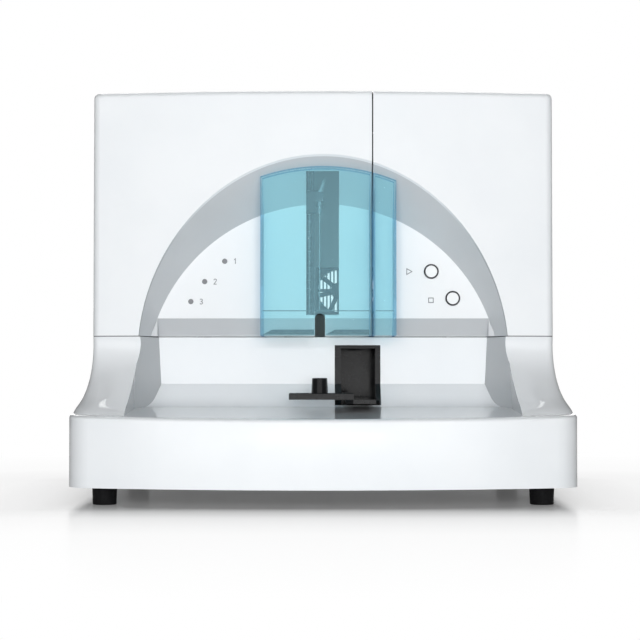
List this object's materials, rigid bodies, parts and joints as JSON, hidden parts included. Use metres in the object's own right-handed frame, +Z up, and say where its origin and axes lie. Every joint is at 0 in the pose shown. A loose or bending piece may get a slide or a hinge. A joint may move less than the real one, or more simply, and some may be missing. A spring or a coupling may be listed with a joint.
{
  "type": "urine analyzer",
  "caption": "Benchtop urine analyzer with a bowed base, sampling deck, blue window over a lifting probe, and two hinged hoods over strip and microscope modules.",
  "frame": {"origin": "centre of the outline, on the surface under the feet", "axes": "+Z up, -Y towards the front with the sampling deck, +X to the right when facing the front"},
  "size_m": [0.75, 0.6399, 0.627],
  "materials": {
    "white_gloss": "glossy white moulded shell",
    "panel_white": "satin white panel",
    "arch_grey": "satin light grey trim",
    "window_blue": "see-through blue acrylic",
    "black_gloss": "glossy black plastic",
    "black_rubber": "black rubber",
    "black_plastic": "fine textured black plastic",
    "dark_chrome": "dark chrome",
    "button_white": "glossy white button",
    "lamp_grey": "smoked grey lens",
    "zinc_steel": "zinc plated sheet steel",
    "rear_paint": "light grey powder coat",
    "bright_steel": "bright steel",
    "tower_aluminium": "anodised aluminium",
    "module_grey": "mid grey plastic",
    "module_white": "off-white plastic",
    "scope_paint": "dark grey paint",
    "lens_black": "black anodised aluminium",
    "clear_glass": "clear glass",
    "plunger_white": "white plastic",
    "hose_clear": "translucent silicone hose",
    "supply_steel": "galvanised steel case",
    "board_green": "green circuit board"
  },
  "bodies": {
    "chassis": {"base_housing": "white_gloss", "base_plate": "zinc_steel", "rubber_feet": "black_rubber", "foot_studs": "bright_steel", "port_liner": "black_gloss", "slide_rods": "bright_steel", "side_frames": "zinc_steel", "module_plate": "zinc_steel", "rear_panel": "rear_paint", "rear_panel_screws": "bright_steel", "hinge_brackets": "bright_steel", "hinge_pins": "bright_steel", "fan_frame": "black_plastic", "power_inlet": "black_plastic", "rear_ports": "black_plastic", "probe_tower": "tower_aluminium", "guide_rail": "bright_steel", "stepper_motor": "black_plastic", "strip_hopper": "module_grey", "drum_cheeks": "tower_aluminium", "strip_bed": "module_white", "reader_head": "module_grey", "microscope_stand": "scope_paint", "objective_lens": "lens_black", "camera_head": "black_plastic", "flow_cell": "clear_glass", "microscope_lamp": "lens_black", "syringe_pump": "module_grey", "syringe_barrel": "clear_glass", "power_supply": "supply_steel", "main_board": "board_green", "fluid_pump": "module_grey"},
    "left_hood_assembly": {"left_hood": "white_gloss", "left_arch_trim": "arch_grey", "left_front_panel": "panel_white", "left_window": "window_blue", "left_hood_ears": "bright_steel", "indicator_lamps": "lamp_grey"},
    "right_hood_assembly": {"right_hood": "white_gloss", "right_arch_trim": "arch_grey", "right_front_panel": "panel_white", "right_window": "window_blue", "right_hood_ears": "bright_steel", "button_bezels": "dark_chrome"},
    "start_button": {"start_button": "button_white"},
    "stop_button": {"stop_button": "button_white"},
    "probe": {"probe_carriage": "tower_aluminium", "probe_arm": "tower_aluminium", "probe_needle": "bright_steel", "probe_hose": "hose_clear"},
    "lead_screw": {"lead_screw": "bright_steel"},
    "sample_slide": {"sample_carriage": "black_gloss", "sample_platform": "black_gloss", "tube_holder": "black_gloss"},
    "fan_rotor": {"fan_rotor": "black_plastic"},
    "power_rocker": {"power_rocker": "black_plastic"},
    "hopper_lid": {"hopper_lid": "module_white"},
    "strip_drum": {"strip_drum": "module_white"},
    "waste_strip_box": {"waste_strip_box": "module_white"},
    "syringe_plunger": {"syringe_plunger": "plunger_white"}
  },
  "joints": [
    {"name": "left_hood_hinge", "type": "hinge", "parent": "chassis", "child": "left_hood_assembly", "pos_m": [-0.14, 0.306, 0.618], "axis": [-1, 0, 0], "range_deg": [0, 65]},
    {"name": "right_hood_hinge", "type": "hinge", "parent": "chassis", "child": "right_hood_assembly", "pos_m": [0.22, 0.306, 0.618], "axis": [-1, 0, 0], "range_deg": [0, 65]},
    {"name": "start_button_press", "type": "slide", "parent": "right_hood_assembly", "child": "start_button", "axis": [0, 1, 0], "range_m": [0, 0.0025], "stiffness_N_per_m": 600, "springref_m": -0.002},
    {"name": "stop_button_press", "type": "slide", "parent": "right_hood_assembly", "child": "stop_button", "axis": [0, 1, 0], "range_m": [0, 0.0025], "stiffness_N_per_m": 600, "springref_m": -0.002},
    {"name": "probe_lift", "type": "slide", "parent": "chassis", "child": "probe", "axis": [0, 0, -1], "range_m": [0, 0.1]},
    {"name": "lead_screw_spin", "type": "hinge", "parent": "chassis", "child": "lead_screw", "pos_m": [-0.022, -0.016, 0.4], "axis": [0, 0, 1], "range_deg": [0, 1801]},
    {"name": "sample_slide_in", "type": "slide", "parent": "chassis", "child": "sample_slide", "axis": [0, 1, 0], "range_m": [0, 0.05]},
    {"name": "fan_spin", "type": "hinge", "parent": "chassis", "child": "fan_rotor", "pos_m": [0.0299, 0.3, 0.3396], "axis": [0, 1, 0], "continuous": true},
    {"name": "power_rocker_tilt", "type": "hinge", "parent": "chassis", "child": "power_rocker", "pos_m": [-0.25, 0.311, 0.205], "axis": [1, 0, 0], "range_deg": [-14, 0]},
    {"name": "hopper_lid_hinge", "type": "hinge", "parent": "chassis", "child": "hopper_lid", "pos_m": [-0.262, 0.2643, 0.3735], "axis": [-1, 0, 0], "range_deg": [0, 80]},
    {"name": "strip_drum_spin", "type": "hinge", "parent": "chassis", "child": "strip_drum", "pos_m": [-0.262, 0.098, 0.292], "axis": [1, 0, 0], "continuous": true},
    {"name": "waste_box_slide", "type": "slide", "parent": "chassis", "child": "waste_strip_box", "axis": [0, -1, 0], "range_m": [0, 0.04]},
    {"name": "plunger_draw", "type": "slide", "parent": "chassis", "child": "syringe_plunger", "axis": [0, 0, -1], "range_m": [0, 0.04]}
  ],
  "couplings": [
    {"joint": "lead_screw_spin", "follows": "probe_lift", "rad_per_m": 314.16}
  ]
}
